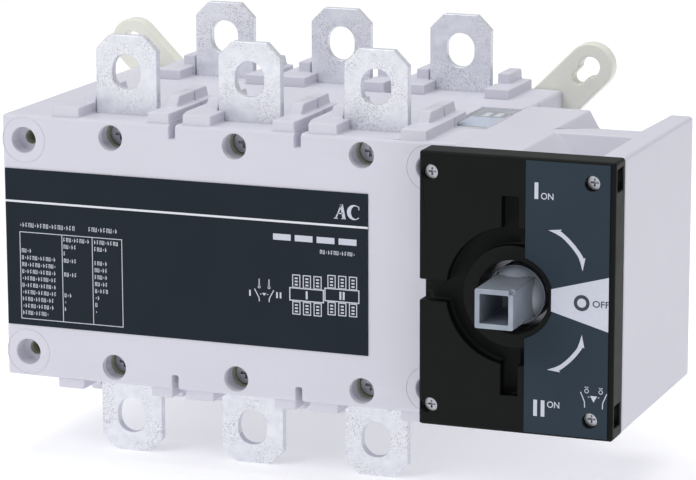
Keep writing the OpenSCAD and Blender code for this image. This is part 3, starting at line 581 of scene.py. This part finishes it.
def painted_shade_liners():
    """Dark olive sleeves inside the screw holes, which are painted shade for the dark inside of the holes,
    and the rings round the corners.
    """
    hole_shade_liners = []
    rings = []
    for x, z in corner_places():
        rings.append(turned("ring", [(8.5, 0.0), (8.6, -0.14), (8.8, -0.14), (8.9, 0.0)],
                            (x, z), "case", "case_plastic", MATERIALS["case_plastic"], steps=72))
        # painted shade: a dark sleeve in the deep bore of each left corner hole
        if x == HOLE_IN:
            hole_shade_liners.append(turned("hole_shade_liner", [(2.69, 7.2), (2.69, 28), (2.56, 28), (2.56, 7.2)],
                                 (x, z), "case", "case_plastic", PAINTED_RECESS_SHADE))
    # painted shade: a dark sleeve inside each pole screw hole
    for x in POLES:
        for z in (POLE_SCREW_UP, CASE_H - POLE_SCREW_UP):
            hole_shade_liners.append(turned("hole_shade_liner", [(POLE_R - 0.01, 7.5), (POLE_R - 0.01, 12.45), (4.1, 12.45),
                                           (4.1, 12.1), (POLE_R - 0.25, 12.1), (POLE_R - 0.25, 7.5)],
                                 (x, z), "case", "case_plastic", PAINTED_RECESS_SHADE))
    joined("painted_shade_liners", hole_shade_liners)
    joined("corner_rings", rings)


# ---- printed matter ----
def marks(lines, x0, x1, z, height):
    """A row of small marks without meaning, as long and as high as a line of text would be."""
    pitch = 0.72 * height
    wide = 0.5 * height
    thin = 0.24
    for i in range(int((x1 - x0) / pitch)):
        x = x0 + i * pitch
        kind = (i * 7 + int(x0 + z)) % 5
        if kind != 4:
            lines.append(rectangle(x, x + thin, z, z + height))
        if kind in (0, 2):
            lines.append(rectangle(x + wide - thin, x + wide, z, z + height))
        level = (height - thin, height / 2, 0, height - thin, height / 2)[kind]
        lines.append(rectangle(x + thin, x + wide - thin, z + level, z + level + thin))
        if kind in (1, 3, 4):
            lines.append(rectangle(x + thin, x + wide - thin, z + height * 0.25, z + height * 0.25 + thin))


def frame_lines(lines, x0, x1, z0, z1, thin):
    lines.append(rectangle(x0, x1, z0, z0 + thin))
    lines.append(rectangle(x0, x1, z1 - thin, z1))
    lines.append(rectangle(x0, x0 + thin, z0 + thin, z1 - thin))
    lines.append(rectangle(x1 - thin, x1, z0 + thin, z1 - thin))


# where the marks of each column of the label's table end, from the top row down; 0 leaves a row out
TABLE_ROWS = (
    (7.4, (0, 0, 12.2, 22.4, 22.6, 22.2, 22.4, 22.4, 22.6, 21.6, 21.2, 19.4)),
    (25.0, (36.2, 31.4, 27.2, 31.5, 0, 31.0, 0, 0, 28.8, 26.7, 26.6, 0)),
    (37.8, (48.0, 44.4, 0, 44.4, 44.4, 44.4, 44.4, 44.4, 41.1, 39.7, 39.7, 0)),
)


def rating_print():
    """Generic marks in place of the label's text: a ruled line, a table and two symbols."""
    y = LABEL_LOW.y
    lines = []
    frame_lines(lines, 6.6, 49.3, 22.4, 56.3, 0.28)
    for x in (24.2, 36.8):
        lines.append(rectangle(x, x + 0.28, 22.68, 56.02))
    for x0, ends in TABLE_ROWS:
        for i, x1 in enumerate(ends):
            if x1:
                marks(lines, x0, x1, 53.6 - 2.68 * i, 1.55)
    marks(lines, 6.8, 31.0, 58.1, 1.7)
    marks(lines, 35.6, 48.8, 58.3, 1.7)
    marks(lines, 128.9, 143.8, 56.9, 1.5)
    for i in range(4):
        lines.append(rectangle(110.4 + i * 8.6, 117.4 + i * 8.6, 60.9, 63.2))
    diagram(lines, 116.7, 33.3, 1)
    diagram(lines, 130.6, 34.2, 2)
    switch_symbol(lines, (106.7, 41.4), ((3.85, 0.35), (2.05, -2.9), (1.95, -4.3)),
                  (1.96, 1.2, 0.55), 4.3, (0.8, -1.0, 1.1), 0.36)
    for x in (100.7, 111.5, 112.9):
        lines.append(rectangle(x, x + 0.65, 38.9, 41.15))
    flat_piece("rating_lines", lines, y - 0.05, y + 0.02, "case", "label_film", INK_LIGHT)
    rule = [rectangle(LABEL_LOW.x, LABEL_HIGH.x, 67.5, 68.3)]
    flat_piece("rating_rule", rule, y - 0.05, y + 0.02, "case", "label_film", INK_WHITE)
    flat_piece("rating_symbol", serif_ac(134.4, 70.6), y - 0.05, y + 0.02, "case", "label_film", INK_LIGHT)


def serif_ac(x, z):
    """Outlines of the letters AC, for alternating current, with thick and thin strokes."""
    a = [stroke(x + 0.75, z + 0.1, x + 3.05, z + 5.3, 0.5),
         stroke(x + 2.95, z + 5.3, x + 4.0, z + 0.1, 1.15),
         rectangle(x + 1.45, x + 3.6, z + 1.75, z + 2.15),
         rectangle(x, x + 1.6, z - 0.1, z + 0.2),
         rectangle(x + 2.9, x + 4.7, z - 0.1, z + 0.2)]
    cx, cz = x + 7.85, z + 2.65
    outer = [(cx + 2.75 * math.cos(t), cz + 2.8 * math.sin(t)) for t in
             [math.radians(45 + 270 * i / 24) for i in range(25)]]
    inner = [(cx + 0.55 + 1.75 * math.cos(t), cz + 2.35 * math.sin(t)) for t in
             [math.radians(315 - 270 * i / 24) for i in range(25)]]
    return a + [outer + inner, rectangle(cx + 1.75, cx + 2.05, cz + 1.0, cz + 2.3)]


def diagram(lines, x, z, bars):
    """Terminal diagram of one switch: a box marked with its position between two rows of terminals."""
    frame_lines(lines, x, x + 13.7, z + 5.1, z + 10.2, 0.42)
    for i in range(3):
        left = x + 1.2 + i * 4.2
        for low in (z, z + 10.1):
            frame_lines(lines, left, left + 3.2, low, low + 5.0, 0.36)
            for j in range(3):
                lines.append(rectangle(left + 1.0, left + 2.2, low + 0.9 + j * 1.2, low + 1.5 + j * 1.2))
    for i in range(bars):
        centre = x + 6.9 + (i - (bars - 1) / 2) * 1.3
        lines.append(rectangle(centre - 0.38, centre + 0.38, z + 6.1, z + 9.1))


def switch_symbol(lines, centre, contact, ring, stem, triangle, w):
    """A two-way switch: two slanting contacts, a ring and stem over each, a triangle between them."""
    x, z = centre
    for s in (-1, 1):
        for (x0, z0), (x1, z1) in zip(contact, contact[1:]):
            lines.append(stroke(x + s * x0, z + z0, x + s * x1, z + z1, w))
        cx, cz, r = x + s * ring[0], z + ring[1], ring[2]
        for start in (0, 180):
            lines.append(band(cx, cz, r - w * 0.7, r, start, start + 180, 8))
        lines.append(stroke(cx, cz + r, cx, z + stem, w))
        lines.append([(cx - r, cz + r * 1.9), (cx + r, cz + r * 1.9), (cx, cz + r * 0.9)])
        dot_x = x + s * (triangle[0] + 0.55)
        dot_z = z + triangle[1] - 0.6
        lines.append(rectangle(dot_x - 0.25, dot_x + 0.25, dot_z, dot_z + 0.3))
    half, top, deep = triangle
    lines.append([(x - half, z + top), (x + half, z + top), (x, z + top - deep)])


def arrow(cx, cz, s):
    """A curved arrow with two heads round the dial's middle; s is 1 above and -1 below."""
    def place(r, a):
        return cx + r * math.cos(math.radians(a)), cz + s * r * math.sin(math.radians(a))

    outer = [place(30.7, 33 + 21 * i / 8) for i in range(9)]
    inner = [place(29.2, 52 - 18 * i / 8) for i in range(9)]
    return [place(28.2, 23.9), place(31.3, 31.2), place(30.6, 31.4), *outer, place(30.6, 55.1),
            place(31.4, 55.0), place(28.4, 62.4), place(28.9, 56.4), *inner, place(28.8, 30.0)]


def dial_print():
    """Marks of the dial: numerals, OFF wedge with its ring, and two turning arrows."""
    y = PLATE_LOW.y
    x0 = COVER_LOW.x
    z0 = COVER_LOW.z
    ink = (y - 0.05, y + 0.02)
    light = []
    wedge = [(x0 + 49.6, z0 + 53.8), (x0 + 49.6, z0 + 45.8), (PLATE_HIGH.x, z0 + 39.9),
             (PLATE_HIGH.x, z0 + 59.5)]
    light.append(list(reversed(wedge)))
    light.append(rectangle(x0 + 43.1, x0 + 44.5, z0 + 85.7, z0 + 91.6))
    for x in (43.4, 46.15):
        light.append(rectangle(x0 + x, x0 + x + 1.4, z0 + 7.25, z0 + 13.2))
    for s in (1, -1):
        light.append(arrow(SHAFT_X, MID_Z, s))
    switch_symbol(light, (x0 + 65.6, z0 + 16.0), ((4.8, 1.6), (3.35, -1.8), (3.25, -4.0)),
                  (2.6, 2.1, 0.8), 3.6, (1.28, 0.45, 2.3), 0.34)
    flat_piece("dial_marks", light, *ink, "case", "dial_film", INK_LIGHT)
    ring_x, ring_z = x0 + 60.8, z0 + 49.7
    ring = [band(ring_x, ring_z, 1.65, 2.9, start, start + 180) for start in (0, 180)]
    flat_piece("dial_zero", ring, y - 0.09, y - 0.04, "case", "dial_film", INK_DARK)
    lettering("dial_off", "OFF", x0 + 64.8, y - 0.06, z0 + 48.5, 2.4, 6.1, "case", "dial_film", INK_DARK)
    for name, x, z in (("dial_on_upper", 45.5, 85.7), ("dial_on_lower", 48.5, 10.75)):
        lettering(name, "ON", x0 + x, y - 0.02, z0 + z, 2.35, 4.55, "case", "dial_film", INK_LIGHT)


def block(name, low, high, body, slot, material):
    """A plain block between two corners in own coordinates."""
    bm = bmesh.new()
    bmesh.ops.create_cube(bm, size=1.0)
    for v in bm.verts:
        v.co = at(*[low[i] if v.co[i] < 0 else high[i] for i in range(3)])
    mesh = bpy.data.meshes.new(name)
    bm.to_mesh(mesh)
    bm.free()
    return add_piece(name, mesh, body, slot, material, smooth=False)


def window():
    """The window's pane, and the marks on the slide right under it: a pale field and two bars."""
    low, high = own_box("indicator_window")
    pane = block("window_pane", (low.x, low.y, high.z - 0.4), high, "case", "clear_plastic",
                 MATERIALS["clear_plastic"])
    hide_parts("indicator_window")
    top = high.z - 0.6
    ink = (top - 0.05, top + 0.03)
    low, high = own_box("indicator_slide")
    body, slot = "position_indicator", "indicator_plastic"
    block("indicator_card", (low.x, low.y, high.z - 0.3), (high.x, high.y, top), body, slot,
          MATERIALS[slot])
    block("indicator_field", (low.x + 0.3, low.y + 0.6, ink[0]), (high.x - 0.3, high.y - 11, ink[1]),
          body, slot, INK_BLUE)
    mid_x = (low.x + high.x) / 2
    bars = []
    for shift in (-2.3, 2.3):
        left, right = mid_x + shift - 1.2, mid_x + shift + 1.2
        bars.append(block("bar", (left, high.y - 8.5, ink[0]), (right, high.y - 1, ink[1]),
                          body, slot, INK_WHITE))
    joined("indicator_marks", bars)


# ---- stage ----
# the camera: its turns in degrees, lens and sensor in mm, and how far it stands from the point that
# it looks at, which is in own coordinates
YAW = 21.0947
PITCH = 12.154
ROLL = -0.1526
LENS = 168.82
SENSOR = 36.0
DISTANCE = 1187.77
AIM = (139.73, 0, 62.79)


def camera():
    data = bpy.data.cameras.new("camera")
    data.lens = LENS
    data.sensor_width = SENSOR
    data.clip_end = 50
    obj = bpy.data.objects.new("camera", data)
    bpy.context.scene.collection.objects.link(obj)
    yaw, pitch, roll = (math.radians(a) for a in (YAW, PITCH, ROLL))
    view = Vector((-math.sin(yaw) * math.cos(pitch), math.cos(yaw) * math.cos(pitch), -math.sin(pitch)))
    right = Vector((math.cos(yaw), math.sin(yaw), 0))
    up = right.cross(view)
    across = right * math.cos(roll) + up * math.sin(roll)
    over = up * math.cos(roll) - right * math.sin(roll)
    turn = Matrix((across, over, -view)).transposed().to_4x4()
    obj.matrix_world = Matrix.Translation(at(*AIM) - view * DISTANCE * MM) @ turn
    bpy.context.scene.camera = obj


def area_light(name, place, size, power):
    """A white light that points at the middle of the frame."""
    data = bpy.data.lights.new(name, "AREA")
    data.shape = "RECTANGLE"
    data.size, data.size_y = size
    data.energy = power
    obj = bpy.data.objects.new(name, data)
    bpy.context.scene.collection.objects.link(obj)
    obj.location = place
    obj.rotation_euler = (-Vector(place)).to_track_quat("-Z", "Y").to_euler()


def stage():
    floor_z = cad_box[0][2]
    bpy.ops.mesh.primitive_grid_add(x_subdivisions=2, y_subdivisions=2, size=8, location=(0, 0, floor_z))
    floor = bpy.context.active_object
    floor.name = "floor"
    s = Shader("floor_white", (0.93, 0.93, 0.94), 0.7)
    s.bsdf.inputs["Emission Color"].default_value = (1, 1, 1, 1)
    s.bsdf.inputs["Emission Strength"].default_value = 0.3
    tone = s.ramp(s.noise(3, 2), [(0.3, (0.92, 0.92, 0.93)), (0.7, (0.95, 0.95, 0.96))])
    s.link(tone, s.bsdf.inputs["Base Color"])
    floor.data.materials.append(s.material)
    world = bpy.data.worlds.new("studio")
    bpy.context.scene.world = world
    world.use_nodes = True
    background = world.node_tree.nodes["Background"]
    background.inputs["Color"].default_value = (0.97, 0.98, 1.0, 1)
    background.inputs["Strength"].default_value = 0.48
    area_light("key", (-0.9, -1.5, 1.5), (1.2, 1.2), 14)
    area_light("top", (0.1, 0.3, 1.9), (1.8, 1.4), 17)
    bpy.context.scene.view_settings.view_transform = "Standard"


paint_cad_nodes()
shells()
painted_shade_liners()
rating_print()
dial_print()
window()
camera()
stage()
